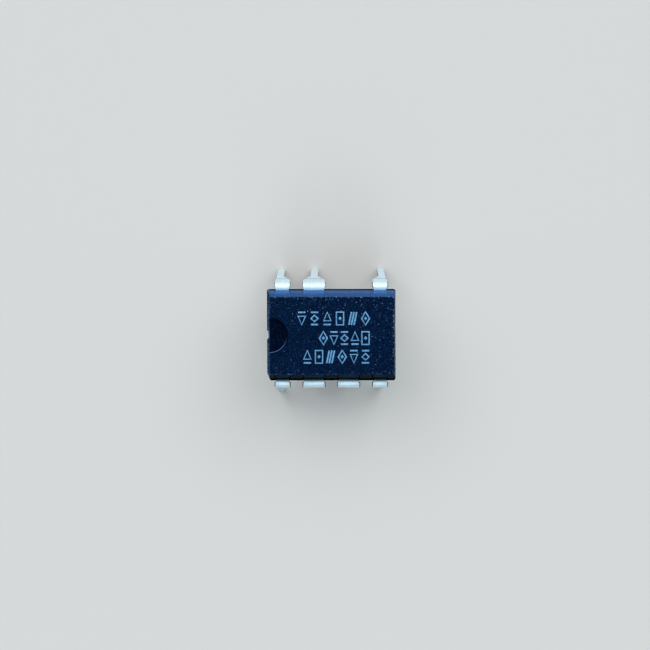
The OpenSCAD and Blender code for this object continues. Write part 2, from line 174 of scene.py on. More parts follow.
def moulded_epoxy():
    """Epoxy filled with ground silica, moulded in a spark-eroded tool: a dark, satin, grainy skin."""
    made, tree, shader = new_material("moulded_epoxy")
    # The filler's grains are below 0.1 mm, and the spots where they shine lie about that far apart
    grain_mm = 0.085
    spot_mm = 0.1
    edge_glint_mm = 0.13
    cloud_mm = 1.4
    # Painted glints gather along the top face's edges over this width
    edge_glint_band_mm = 0.1
    # Level faces below this height are the ledge of the trimmed rim
    ledge_below_mm = 6
    where = add(tree, "ShaderNodeTexCoord").outputs["Object"]
    grain = add(tree, "ShaderNodeTexNoise", {
        "Vector": where, "Scale": 1 / (grain_mm * MM), "Detail": 2.0, "Roughness": 0.6,
    }).outputs["Fac"]
    cloud = noise(tree, where, cloud_mm)
    cells = add(tree, "ShaderNodeTexVoronoi", {"Vector": where, "Scale": 1 / (spot_mm * MM)})
    facing = add(tree, "ShaderNodeSeparateXYZ", {
        "Vector": add(tree, "ShaderNodeNewGeometry").outputs["True Normal"],
    }).outputs
    place = add(tree, "ShaderNodeSeparateXYZ", {"Vector": where}).outputs
    # The drafted walls slid smooth out of the tool, and mirror the leads at their feet
    wall = ramp(tree, maths(tree, "ABSOLUTE", facing["Z"]), (0.8, 0.4))
    # The walls under the rim lean downwards, where little light reaches them: they get painted shade
    # and fewer painted glints
    upward = ramp(tree, facing["Z"], (-0.1, 0.1))
    # Painted glints of the filler grains: more of them towards the lit row of leads 5 to 8, most on the
    # edges
    side = ramp(
        tree, maths(tree, "ABSOLUTE", place["Y"]),
        ((TOP_Y - edge_glint_band_mm) * MM, (TOP_Y - 0.02) * MM),
    )
    end = ramp(
        tree, maths(tree, "ABSOLUTE", place["X"]),
        ((TOP_X - edge_glint_band_mm) * MM, (TOP_X - 0.02) * MM), (0.0, 0.65),
    )
    crown = ramp(tree, place["Z"], (body_high.z - 0.22 * MM, body_high.z - 0.08 * MM))
    lit_side_share = ramp(tree, place["Y"], (-TOP_Y * MM, 1 * MM), (0.45, 1.0))
    border = maths(tree, "MAXIMUM", side, end)
    edge = maths(tree, "MULTIPLY", border, maths(tree, "MULTIPLY", crown, lit_side_share))
    fewer = ramp(tree, place["Y"], (TOP_Y * MM, 0.6 * MM), (0.8, 0.9))
    # Walls show fewer of them, most of all the walls other than the notched end's
    rarer = ramp(tree, maths(tree, "MULTIPLY", facing["X"], upward), (-0.9, -0.5), (0.03, 0.15))
    rarity = maths(tree, "MULTIPLY_ADD", wall, rarer, fewer)
    chosen = add(tree, "ShaderNodeSeparateColor", {"Color": cells.outputs["Color"]}).outputs["Red"]
    rare = ramp(tree, chosen, (rarity, 1.06))
    core = ramp(tree, cells.outputs["Distance"], (0.45, 0.15))
    glint = maths(tree, "MULTIPLY", maths(tree, "POWER", rare, 1.6), core)
    # Painted glints dotted along the top face's edges, in a noise
    edge_glint_noise = ramp(tree, noise(tree, where, edge_glint_mm, 1.0), (0.57, 0.75), (0.0, 0.75))
    painted_glints = maths(tree, "MAXIMUM", glint, maths(tree, "MULTIPLY", edge_glint_noise, edge))
    shade = ramp(tree, grain, (0.44, 0.7))
    dark = mixed(tree, cloud, linear("#010614"), linear("#02091A"))
    resin = mixed(tree, shade, dark, linear("#0C294F"))
    # The ledge of the trimmed rim, at the foot of the walls, is painted nearly black as shade
    level = maths(tree, "GREATER_THAN", facing["Z"], 0.8)
    ledge = maths(tree, "MULTIPLY", level, maths(tree, "LESS_THAN", place["Z"], ledge_below_mm * MM))
    # At the gate's end its inner half is torn, and all of it between the gate and the chipped corner
    inner = ramp(tree, place["X"], (body_low.x + 0.05 * MM, body_low.x + 0.09 * MM))
    below = ramp(tree, place["Y"], (-0.3 * MM, -0.45 * MM))
    at_gate = maths(tree, "LESS_THAN", place["X"], body_low.x + 0.2 * MM)
    torn = maths(tree, "MULTIPLY", maths(tree, "MAXIMUM", inner, below), at_gate)
    broken = mixed(tree, shade, linear("#16283E"), linear("#6C88A8"))
    torn_and_shaded_ledge = mixed(tree, torn, linear("#02060C"), broken)
    trimmed = mixed(tree, ledge, resin, torn_and_shaded_ledge)
    # Painted light and shade on the walls: the wall over leads 1 to 4 is painted nearly black as shade,
    # like the ledge, and all walls under the rim are painted dark. The others are painted blue as lit,
    # most at the rear, and paler towards the rim as a painted reflection.
    turned = ramp(tree, facing["Y"], (-0.5, 0.6))
    # bare sets the painted light on the walls by their facing: full towards the rear lamps, none at the
    # front, reduced under the rim
    bare = maths(tree, "MULTIPLY", turned, ramp(tree, upward, (0, 1), (0.2, 1.0)))
    painted_lit_blue = mixed(tree, shade, linear("#2E4474"), linear("#4669A4"))
    near_rim = ramp(tree, place["Z"], (body_high.z - 0.6 * MM, body_high.z - 1.7 * MM), (0.0, 0.45))
    graded = mixed(tree, near_rim, painted_lit_blue, linear("#6A90BA"))
    wall_light_and_shade = mixed(tree, bare, linear("#03060A"), graded)
    skin = mixed(tree, wall, trimmed, wall_light_and_shade)
    low_skin = maths(tree, "MAXIMUM", wall, ledge)
    mirrored = ramp(tree, low_skin, (0, 1), (0.08, 0.0))
    # A share of metal with a blue rim colour makes the walls mirror, in blue, the leads at their feet
    share = ramp(tree, bare, (0, 1), (0.11, 0.45))
    metal = maths(tree, "MULTIPLY", share, wall)
    rim_colour = mixed(tree, wall, linear("#5FA6FF"), linear("#BCE1FF"))
    # The glints are painted pale blue over the skin
    colour = mixed(tree, painted_glints, skin, linear("#86AAD0"))
    gloss = ramp(tree, wall, (0, 1), (0.5, 0.1))
    relief = ramp(tree, wall, (0, 1), (0.5, 0.04))
    bump = add(tree, "ShaderNodeBump", {
        "Height": grain, "Strength": relief, "Distance": 0.012 * MM,
    }).outputs["Normal"]
    tree.links.new(colour, shader.inputs["Base Color"])
    tree.links.new(gloss, shader.inputs["Roughness"])
    tree.links.new(bump, shader.inputs["Normal"])
    tree.links.new(mirrored, shader.inputs["Specular IOR Level"])
    tree.links.new(metal, shader.inputs["Metallic"])
    tree.links.new(rim_colour, shader.inputs["Specular Tint"])
    shader.inputs["IOR"].default_value = 1.5
    return made


def torn_epoxy():
    """Epoxy torn where flash and gate broke off: bare filler, pale and dull, in coarse grains."""
    made, tree, shader = new_material("torn_epoxy")
    grain_mm = 0.07
    where = add(tree, "ShaderNodeTexCoord").outputs["Object"]
    grain = noise(tree, where, grain_mm)
    pale = ramp(tree, grain, (0.4, 0.62))
    colour = mixed(tree, pale, linear("#2A3D54"), linear("#C2D0DA"))
    tree.links.new(colour, shader.inputs["Base Color"])
    shader.inputs["Roughness"].default_value = 0.8
    shader.inputs["Specular IOR Level"].default_value = 0.1
    return made


def polished_epoxy():
    """The same epoxy where the tool was polished: nearly black and smoother, in the notch."""
    made, tree, shader = new_material("polished_epoxy")
    ripple_mm = 0.3
    grain_mm = 0.1
    where = add(tree, "ShaderNodeTexCoord").outputs["Object"]
    ripple = noise(tree, where, ripple_mm)
    grain = noise(tree, where, grain_mm)
    speck = ramp(tree, grain, (0.48, 0.75))
    bump = add(tree, "ShaderNodeBump", {
        "Height": ripple, "Strength": 0.2, "Distance": 0.01 * MM,
    }).outputs["Normal"]
    skin = mixed(tree, speck, linear("#010613"), linear("#101A3C"))
    # The foot of the notch's wall is painted pale as lit where it faces the row of leads 5 to 8
    facing = add(tree, "ShaderNodeSeparateXYZ", {
        "Vector": add(tree, "ShaderNodeNewGeometry").outputs["True Normal"],
    }).outputs
    turned = ramp(tree, facing["Y"], (0.15, 0.6), (0.0, 0.8))
    foot = ramp(
        tree, add(tree, "ShaderNodeSeparateXYZ", {"Vector": where}).outputs["Z"],
        (body_high.z - 0.16 * MM, body_high.z - 0.24 * MM),
    )
    painted_lit_foot = mixed(tree, foot, linear("#06162E"), linear("#5A7CB6"))
    colour = mixed(tree, turned, skin, painted_lit_foot)
    tree.links.new(colour, shader.inputs["Base Color"])
    tree.links.new(bump, shader.inputs["Normal"])
    shader.inputs["Roughness"].default_value = 0.32
    shader.inputs["IOR"].default_value = 1.5
    shader.inputs["Specular IOR Level"].default_value = 0.06
    shader.inputs["Specular Tint"].default_value = linear("#5FA6FF")
    return made


def marking_ink():
    """Laser-bleached marking: a pale, dull, slightly broken blue on the resin."""
    made, tree, shader = new_material("marking_ink")
    fleck_mm = 0.09
    where = add(tree, "ShaderNodeTexCoord").outputs["Object"]
    fleck = noise(tree, where, fleck_mm)
    worn = ramp(tree, fleck, (0.35, 0.62))
    colour = mixed(tree, worn, linear("#4A7CA6"), linear("#6FACD6"))
    tree.links.new(colour, shader.inputs["Base Color"])
    shader.inputs["Roughness"].default_value = 0.7
    shader.inputs["Specular IOR Level"].default_value = 0.3
    return made


def tinned_copper():
    """Matte tin on copper: a pale blue-white metal, duller on punched flanks, bare at cut tips, with
    painted shade on its flanks and on the front legs.
    """
    made, tree, shader = new_material("matte_tin_on_copper")
    # Tin crystals are finer than the render shows, so they are drawn at 0.06 mm
    crystal_mm = 0.06
    # The edge of the bled resin wanders by up to this much
    ragged_mm = 0.16
    # Drag lines of the rollers run along each lead: fine across it and long along it
    line_mm = 0.05
    line_l_mm = 0.9
    where = add(tree, "ShaderNodeTexCoord").outputs["Object"]
    crystal = noise(tree, where, crystal_mm)
    drawn = add(tree, "ShaderNodeMapping", {
        "Vector": where,
        "Scale": (1 / (line_mm * MM), 1 / (line_l_mm * MM), 1 / (line_l_mm * MM)),
    }).outputs["Vector"]
    smear = add(tree, "ShaderNodeTexNoise", {
        "Vector": drawn, "Scale": 1.0, "Detail": 3.0, "Roughness": 0.55,
    }).outputs["Fac"]
    stain = ramp(tree, smear, (0.45, 0.75))
    tin = mixed(tree, stain, linear("#E0F4FB"), linear("#D2E5EE"))
    facing = add(tree, "ShaderNodeSeparateXYZ", {
        "Vector": add(tree, "ShaderNodeNewGeometry").outputs["Normal"],
    }).outputs
    # The legs of leads 1 to 4 are painted darker below their bends, as shade, where they face the front
    front_leg_shade = ramp(tree, facing["Y"], (-0.88, -0.98), (0.0, 0.5))
    leg_shaded_tin = mixed(tree, front_leg_shade, tin, linear("#8A9A9A"))
    # Flanks are duller where punched, and are also painted darker as shade
    flank = ramp(tree, maths(tree, "ABSOLUTE", facing["X"]), (0.35, 0.8))
    punched = mixed(tree, flank, leg_shaded_tin, linear("#87918F"))
    place = add(tree, "ShaderNodeSeparateXYZ", {"Vector": where}).outputs
    height = place["Z"]
    # A duller band is painted across the legs just above their taper, as a dark reflection
    from_line = maths(tree, "ABSOLUTE", maths(tree, "SUBTRACT", height, DULL_BAND_Z * MM))
    in_line = ramp(tree, from_line, (DULL_BAND_HALF * MM, 0.25 * DULL_BAND_HALF * MM), (0.0, 0.75))
    banded_tin = mixed(tree, in_line, punched, linear("#9DB0C0"))
    cut = ramp(tree, height, (0.05 * MM, 0.02 * MM))
    tinned = mixed(tree, cut, banded_tin, linear("#B98560"))
    # Resin has bled a little way out on to the leads' roots, with a ragged edge; its colour is painted
    # light and shade: pale at the lit rear row, dark teal as shade at the front row
    out = maths(tree, "ABSOLUTE", place["Y"])
    front = maths(tree, "LESS_THAN", place["Y"], 0.0)
    limit = maths(tree, "MULTIPLY_ADD", front, (BLEED_FRONT - BLEED_REAR) * MM, BLEED_REAR * MM)
    ragged = maths(tree, "MULTIPLY_ADD", crystal, ragged_mm * MM, limit)
    bled = ramp(tree, maths(tree, "SUBTRACT", out, ragged), (0.04 * MM, -0.12 * MM), (0.0, 0.98))
    at_row = maths(tree, "GREATER_THAN", out, BLEED_FROM * MM)
    filmed = maths(tree, "MULTIPLY", bled, at_row)
    lit_and_shaded_bleed = mixed(tree, front, linear("#92C6E6"), linear("#0B2A3C"))
    colour = mixed(tree, filmed, tinned, lit_and_shaded_bleed)
    gloss = ramp(tree, smear, (0.3, 0.7), (0.46, 0.54))
    bump = add(tree, "ShaderNodeBump", {
        "Height": crystal, "Strength": 0.25, "Distance": 0.006 * MM,
    }).outputs["Normal"]
    tree.links.new(colour, shader.inputs["Base Color"])
    tree.links.new(gloss, shader.inputs["Roughness"])
    tree.links.new(bump, shader.inputs["Normal"])
    # The dull coat scatters a third of the light and mirrors the rest
    shader.inputs["Metallic"].default_value = 0.65
    return made


def sheared_copper():
    """Copper torn by a shear, with tin smeared over it: a dull, finely mottled grey-green."""
    made, tree, shader = new_material("sheared_copper")
    mottle_mm = 0.04
    where = add(tree, "ShaderNodeTexCoord").outputs["Object"]
    mottle = noise(tree, where, mottle_mm)
    colour = mixed(tree, mottle, linear("#2C2E27"), linear("#585C50"))
    tree.links.new(colour, shader.inputs["Base Color"])
    shader.inputs["Metallic"].default_value = 0.7
    shader.inputs["Roughness"].default_value = 0.55
    return made


def inner_finish(name, dark, light, grain_mm, metallic, roughness):
    """A finish inside the moulding: two near shades in grains of a real size, on a metal or not."""
    made, tree, shader = new_material(name)
    where = add(tree, "ShaderNodeTexCoord").outputs["Object"]
    grain = noise(tree, where, grain_mm)
    colour = mixed(tree, grain, linear(dark), linear(light))
    tree.links.new(colour, shader.inputs["Base Color"])
    shader.inputs["Metallic"].default_value = metallic
    shader.inputs["Roughness"].default_value = roughness
    return made


def finish_piece(piece, slot, *nodes):
    """Rides a piece on the chip and hides the solids that it stands for. Its slot, a finish's name, is
    not used.
    """
    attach(piece, "root")
    if nodes:
        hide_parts(*nodes)


def smooth(mesh, sharp_deg):
    """Shades a mesh smooth, apart from its edges sharper than an angle."""
    mesh.shade_smooth()
    mesh.set_sharp_from_angle(angle=math.radians(sharp_deg))


def new_object(name, bm):
    """An object at the origin from a bmesh, which is freed."""
    mesh = bpy.data.meshes.new(name)
    bm.to_mesh(mesh)
    bm.free()
    made = bpy.data.objects.new(name, mesh)
    bpy.context.scene.collection.objects.link(made)
    return made


def applied(obj, name):
    """A plain mesh object of what an object and its modifiers make, in its place."""
    bpy.context.view_layer.update()
    shown = obj.evaluated_get(bpy.context.evaluated_depsgraph_get())
    mesh = bpy.data.meshes.new_from_object(shown)
    mesh.name = name
    bpy.data.objects.remove(obj)
    made = bpy.data.objects.new(name, mesh)
    bpy.context.scene.collection.objects.link(made)
    return made


def new_tree(name, sizes):
    """A Geometry Nodes tree with a named input for each size, and its two ends."""
    tree = bpy.data.node_groups.new(name, "GeometryNodeTree")
    tree.interface.new_socket("Geometry", in_out="INPUT", socket_type="NodeSocketGeometry")
    for label, kind in sizes:
        tree.interface.new_socket(label, in_out="INPUT", socket_type=kind)
    tree.interface.new_socket("Geometry", in_out="OUTPUT", socket_type="NodeSocketGeometry")
    return tree, add(tree, "NodeGroupInput").outputs


def use_tree(obj, tree, values):
    """Puts a tree on an object, with each named input set by its socket's identifier."""
    modifier = obj.modifiers.new(tree.name, "NODES")
    modifier.node_group = tree
    for item in tree.interface.items_tree:
        if item.in_out == "INPUT" and item.name in values:
            modifier[item.identifier] = values[item.name]


# Moulding, in millimetres and degrees
TOP_ROUND = 0.05
NOTCH_R = 1.345
NOTCH_IN = 0.26
NOTCH_DEPTH = 0.37
# Points that count as one, edges that count as level, faces that count as flat and edges as sharp
MERGE = 0.0002
LEVEL_TOL = 0.002
FLAT_DEG = 0.6
SHARP_DEG = 20
# Edges sharper than these stay sharp in the shading
BODY_SMOOTH_DEG = 32
LEAD_SMOOTH_DEG = 35


def on_level(edge, z):
    """Whether an edge lies level at a height."""
    return all(abs(v.co.z - z) < LEVEL_TOL * MM for v in edge.verts)


def sharp(edge):
    """Whether an edge joins two faces at a clear angle."""
    return len(edge.link_faces) == 2 and edge.calc_face_angle(0) > math.radians(SHARP_DEG)


def mould_body(finish):
    """The moulding's own solid with its outer edges rounded, as a mould leaves them."""
    bm = bmesh.new()
    bm.from_mesh(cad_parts["mould_body"].data)
    bmesh.ops.remove_doubles(bm, verts=bm.verts, dist=MERGE * MM)
    bmesh.ops.dissolve_limit(bm, angle_limit=math.radians(FLAT_DEG), verts=bm.verts, edges=bm.edges)
    top = [e for e in bm.edges if sharp(e) and on_level(e, body_high.z)]
    round_edges(bm, top, TOP_ROUND, 3)
    # Only the outer edges of the underside, as its ejector marks stay sharp
    side_x = body_high.x - 1.2 * MM
    side_y = 2.3 * MM
    foot = [
        e for e in bm.edges
        if sharp(e) and on_level(e, body_low.z)
        and all(abs(v.co.x) > side_x or abs(v.co.y) > side_y for v in e.verts)
    ]
    round_edges(bm, foot, TOP_ROUND, 3)
    made = new_object("moulding_blank", bm)
    smooth(made.data, BODY_SMOOTH_DEG)
    made.data.materials.clear()
    made.data.materials.append(finish)
    made.data.materials.append(polished_epoxy())
    # The notch: every face between its floor and the top face, inside its radius
    middle = Vector((body_low.x + NOTCH_IN * MM, 0))
    for face in made.data.polygons:
        in_plan = (face.center.xy - middle).length < NOTCH_R * MM
        in_height = body_high.z - NOTCH_DEPTH * MM < face.center.z < body_high.z - 0.05 * TOP_ROUND * MM
        if in_plan and in_height:
            face.material_index = 1
    made.modifiers.new("even_shading", "WEIGHTED_NORMAL").keep_sharp = True
    return applied(made, "moulding")


# Leads
def lead_x(n):
    """Centre line of lead n, in millimetres."""
    return (n - 2.5 if n <= 4 else 6.5 - n) * PITCH


def at_end(n):
    """Whether lead n is at an end of its row, where its outer side steps in."""
    return n in (1, 4, 5, 8)


def reach(n):
    """How far lead n's shoulder reaches from its centre line, towards -X and towards +X."""
    if not at_end(n):
        return SHOULDER_W / 2, SHOULDER_W / 2
    outer = LEG_W / 2 + END_STEP
    inner = END_SHOULDER_W - outer
    return (outer, inner) if lead_x(n) < 0 else (inner, outer)


def neck_x(n, hand):
    """Edge of lead n's neck, towards -X for hand -1 and towards +X for hand 1."""
    return lead_x(n) + hand * (reach(n)[(hand + 1) // 2] - NECK_INSET)


def leg_start(n):
    """Where lead n's leg starts on the flat blank, past its bend."""
    return BEND_Y + MID_R * math.radians(90 - SPLAY[n])


def lead_edge(n, hand):
    """One edge of lead n on the flat blank, from the moulding's rim out to the tip."""
    splay = math.radians(SPLAY[n])
    leg = (BEND_Z + BEND_R * math.sin(splay)) / math.cos(splay)
    board = leg - LEG_L / math.cos(splay)
    wide = reach(n)[(hand + 1) // 2]
    start = leg_start(n)
    # Past the bend a side runs straight for an eighth of the way to the board plane. There an
    # end lead's outer side steps in, and any other side starts to taper, in a slight bulge.
    edge = [(wide - NECK_INSET, RIM_Y), (wide, RIM_Y + FLARE_L)]
    if at_end(n) and hand * lead_x(n) > 0:
        edge += [(wide, start + board / 8), (LEG_W / 2, start + board / 8 + STEP_L)]
    else:
        for i in range(TAPER_STEPS + 1):
            t = i / TAPER_STEPS
            width = wide + (LEG_W / 2 - wide) * t + 4 * BULGE * t * (1 - t)
            edge.append((width, start + board * (1 + 7 * t) / 8))
    edge += [(LEG_W / 2, start + leg - TIP_L), (TIP_W / 2, start + leg)]
    return [(lead_x(n) + hand * width, along) for width, along in edge]


def lead_outline(n):
    """Both edges of lead n in order, from the rim round the tip and back to the rim."""
    return lead_edge(n, -1) + lead_edge(n, 1)[::-1]


def stampings():
    """Each stamping: its solid's name, its leads, the row's side and its outline on the flat sheet."""
    post = -SWITCH_PAD_LOW + FRAME_GAP
    short = -CONTROL_PAD_LOW + FRAME_GAP
    split = neck_x(3, -1) - FRAME_GAP
    rear = PAD_TOP + FRAME_GAP
    tie_low = TIE_Y - TIE_HALF
    tie_high = TIE_Y + TIE_HALF
    end = body_high.x / MM
    return [
        ("lead_1", [1], -1, lead_outline(1) + [
            (neck_x(1, 1), PAD_TOP), (lead_x(1) + PITCH / 2, post), (neck_x(1, -1), post),
        ]),
        ("lead_2", [2], -1, lead_outline(2) + [
            (neck_x(2, 1), PAD_TOP), (split, post), (neck_x(2, -1), post),
        ]),
        ("ground_lead_frame", [3], -1, lead_outline(3) + [
            (neck_x(3, 1), -CONTROL_PAD_LOW), (PAD_END, -CONTROL_PAD_LOW),
            (PAD_END, -tie_low), (end, -tie_low), (end, -tie_high), (PAD_END, -tie_high),
            (PAD_END, -PAD_TOP), (neck_x(3, -1), -PAD_TOP),
        ]),
        ("lead_4", [4], -1, lead_outline(4) + [
            (neck_x(4, 1), short), (lead_x(4) - PITCH / 3, short), (neck_x(4, -1), PAD_TOP),
        ]),
        ("lead_5", [5], 1, lead_outline(5) + [
            (neck_x(5, 1), rear), (neck_x(5, -1) - FRAME_GAP, rear),
            (neck_x(5, -1), PARTING_Y - LOCK_R),
        ]),
        ("drain_lead_frame", [8, 7], 1, lead_outline(8) + [
            (neck_x(8, 1), PAD_TOP), (neck_x(7, -1), PAD_TOP),
        ] + lead_outline(7) + [
            (neck_x(7, 1), PAD_TOP), (split, PAD_TOP), (split, SWITCH_PAD_LOW),
            (-PAD_END, SWITCH_PAD_LOW), (-PAD_END, -TIE_HALF), (GATE_SCAR - end, -TIE_HALF),
            (GATE_SCAR - end, TIE_HALF), (-PAD_END, TIE_HALF), (-PAD_END, PAD_TOP),
            (neck_x(8, -1), PAD_TOP),
        ]),
    ]


def add_stub(bm, n, hand):
    """Sheared stub of the dam bar at one side of lead n's shoulder, on the flat blank."""
    edge = lead_x(n) + hand * reach(n)[(hand + 1) // 2]
    near = edge - hand * STUB_IN
    far = edge + hand * STUB_OUT
    low = RIM_Y + FLARE_L + STUB_START
    high = low + STUB_L
    slope = STUB_OUT
    half = STUB_T / 2
    plan = [
        (near, low - slope / 2), (far, low + slope), (far, high - slope), (near, high + slope / 2),
    ]
    # Anticlockwise from above, so that every face points outwards
    plan = plan[::hand]
    under = [bm.verts.new((x * MM, y * MM, -half * MM)) for x, y in plan]
    over = [bm.verts.new((x * MM, y * MM, half * MM)) for x, y in plan]
    faces = [bm.faces.new(under[::-1]), bm.faces.new(over)]
    for i in range(4):
        j = (i + 1) % 4
        faces.append(bm.faces.new((under[i], under[j], over[j], over[i])))
    mark = bm.faces.layers.int["is_stub"]
    for face in faces:
        face[mark] = 1


def flat_blank(name, leads, outline):
    """A stamping before its leads are bent: x across, y outwards, z through the sheet."""
    bm = bmesh.new()
    corners = [bm.verts.new((x * MM, y * MM, -SHEET_T / 2 * MM)) for x, y in outline]
    face = bm.faces.new(corners)
    raised = bmesh.ops.extrude_face_region(bm, geom=[face])["geom"]
    bmesh.ops.translate(bm, vec=(0, 0, SHEET_T * MM),
                        verts=[v for v in raised if isinstance(v, bmesh.types.BMVert)])
    bmesh.ops.recalc_face_normals(bm, faces=bm.faces)
    if bm.calc_volume(signed=True) < 0:
        bmesh.ops.reverse_faces(bm, faces=bm.faces)
    rims = [e for e in bm.edges if abs(e.verts[0].co.z - e.verts[1].co.z) < 0.01 * MM]
    round_edges(bm, rims, SHEET_ROUND, 2)
    blank = new_object(name + "_blank", bm)
    # Lead 5 has no hole, as its root widens inwards and locks it
    for n in leads:
        if n != 5:
            blank = punched(blank, n)
    bm = bmesh.new()
    bm.from_mesh(blank.data)
    bm.faces.layers.int.new("is_stub")
    for n in leads:
        for hand in (-1, 1):
            add_stub(bm, n, hand)
    turn = leg_start(leads[0]) - BEND_Y
    bend_steps = 12
    for i in range(bend_steps + 1):
        along = (BEND_Y + turn * i / bend_steps) * MM
        bmesh.ops.bisect_plane(bm, geom=bm.verts[:] + bm.edges[:] + bm.faces[:],
                               plane_co=(0, along, 0), plane_no=(0, 1, 0), dist=0.0001 * MM)
    bm.to_mesh(blank.data)
    bm.free()
    return blank


def punched(blank, n):
    """Cuts the hole in lead n's neck that the resin flows through."""
    bm = bmesh.new()
    bmesh.ops.create_cone(bm, cap_ends=True, segments=32, radius1=LOCK_R * MM,
                          radius2=LOCK_R * MM, depth=4 * SHEET_T * MM)
    middle = (neck_x(n, -1) + neck_x(n, 1)) / 2
    bmesh.ops.translate(bm, vec=(middle * MM, (PARTING_Y - LOCK_IN) * MM, 0), verts=bm.verts)
    punch = new_object("punch", bm)
    cut = blank.modifiers.new("punch", "BOOLEAN")
    cut.operation = "DIFFERENCE"
    cut.solver = "EXACT"
    cut.object = punch
    made = applied(blank, blank.name)
    bpy.data.objects.remove(punch)
    return made


def lead_press(finish, sheared):
    """Tree that bends a flat blank's leads down round the press's radius, on one side of the chip."""
    tree, given = new_tree("lead_press", [
        ("Bend start", "NodeSocketFloat"), ("Bend radius", "NodeSocketFloat"),
        ("Splay", "NodeSocketFloat"), ("Row side", "NodeSocketFloat"),
        ("Sheet height", "NodeSocketFloat"),
    ])
    place = add(tree, "ShaderNodeSeparateXYZ", {
        "Vector": add(tree, "GeometryNodeInputPosition").outputs["Position"],
    }).outputs
    radius = given["Bend radius"]
    past = maths(tree, "MAXIMUM", maths(tree, "SUBTRACT", place["Y"], given["Bend start"]), 0.0)
    whole = maths(tree, "MULTIPLY", radius, maths(tree, "SUBTRACT", math.pi / 2, given["Splay"]))
    turned = maths(tree, "MINIMUM", past, whole)
    leg = maths(tree, "SUBTRACT", past, turned)
    angle = maths(tree, "DIVIDE", turned, radius)
    sine = maths(tree, "SINE", angle)
    cosine = maths(tree, "COSINE", angle)
    arm = maths(tree, "ADD", radius, place["Z"])
    flat = maths(tree, "MINIMUM", place["Y"], given["Bend start"])
    round_out = maths(tree, "MULTIPLY", arm, sine)
    leg_out = maths(tree, "MULTIPLY", leg, cosine)
    out = maths(tree, "ADD", flat, maths(tree, "ADD", round_out, leg_out))
    fall = maths(tree, "ADD", radius, maths(tree, "MULTIPLY", leg, sine))
    height = maths(tree, "SUBTRACT", maths(tree, "MULTIPLY", arm, cosine), fall)
    bent = add(tree, "ShaderNodeCombineXYZ", {
        "X": place["X"],
        "Y": maths(tree, "MULTIPLY", out, given["Row side"]),
        "Z": maths(tree, "ADD", height, given["Sheet height"]),
    }).outputs["Vector"]
    moved = add(tree, "GeometryNodeSetPosition", {
        "Geometry": given["Geometry"], "Position": bent,
    }).outputs["Geometry"]
    mirrored = add(tree, "FunctionNodeCompare", {0: given["Row side"], 1: 0.0},
                   data_type="FLOAT", operation="LESS_THAN").outputs["Result"]
    turned_out = add(tree, "GeometryNodeFlipFaces", {
        "Mesh": moved, "Selection": mirrored,
    }).outputs["Mesh"]
    real = add(tree, "GeometryNodeRealizeInstances", {"Geometry": turned_out}).outputs["Geometry"]
    is_stub = add(tree, "GeometryNodeInputNamedAttribute", {"Name": "is_stub"},
                  data_type="INT").outputs["Attribute"]
    coated = add(tree, "GeometryNodeSetMaterial", {"Geometry": real, "Material": finish})
    cut = add(tree, "GeometryNodeSetMaterial", {
        "Geometry": coated.outputs["Geometry"], "Selection": is_stub, "Material": sheared,
    })
    add(tree, "NodeGroupOutput", {"Geometry": cut.outputs["Geometry"]})
    return tree


def leads(finish, sheared):
    """All stampings of the lead frame, bent and tinned."""
    press = lead_press(finish, sheared)
    for name, numbers, side, outline in stampings():
        blank = flat_blank(name, numbers, outline)
        blank.data.materials.clear()
        use_tree(blank, press, {
            "Bend start": BEND_Y * MM,
            "Bend radius": MID_R * MM,
            "Splay": math.radians(SPLAY[numbers[0]]),
            "Row side": float(side),
            "Sheet height": SHEET_Z * MM,
        })
        smooth(blank.data, LEAD_SMOOTH_DEG)
        blank.modifiers.new("even_shading", "WEIGHTED_NORMAL").keep_sharp = True
        piece = applied(blank, "stamped_" + name)
        finish_piece(piece, "tinned_copper", name)


# Flash: ragged lips of resin at the parting line, one along the plain end and one in the gate's scar
FLASH_LIPS = [
    {"name": "flash_lip", "low": -3.15, "high": -0.2, "edge": 0.0, "reach": 0.05, "turn": 0.0},
    {"name": "torn_gate", "low": -0.42, "high": 0.26, "edge": -0.11, "reach": 0.06, "turn": math.pi},
]
FLASH_IN = 0.05
FLASH_T = 0.03
FLASH_LUMP = 0.25
FLASH_STEP = 0.03


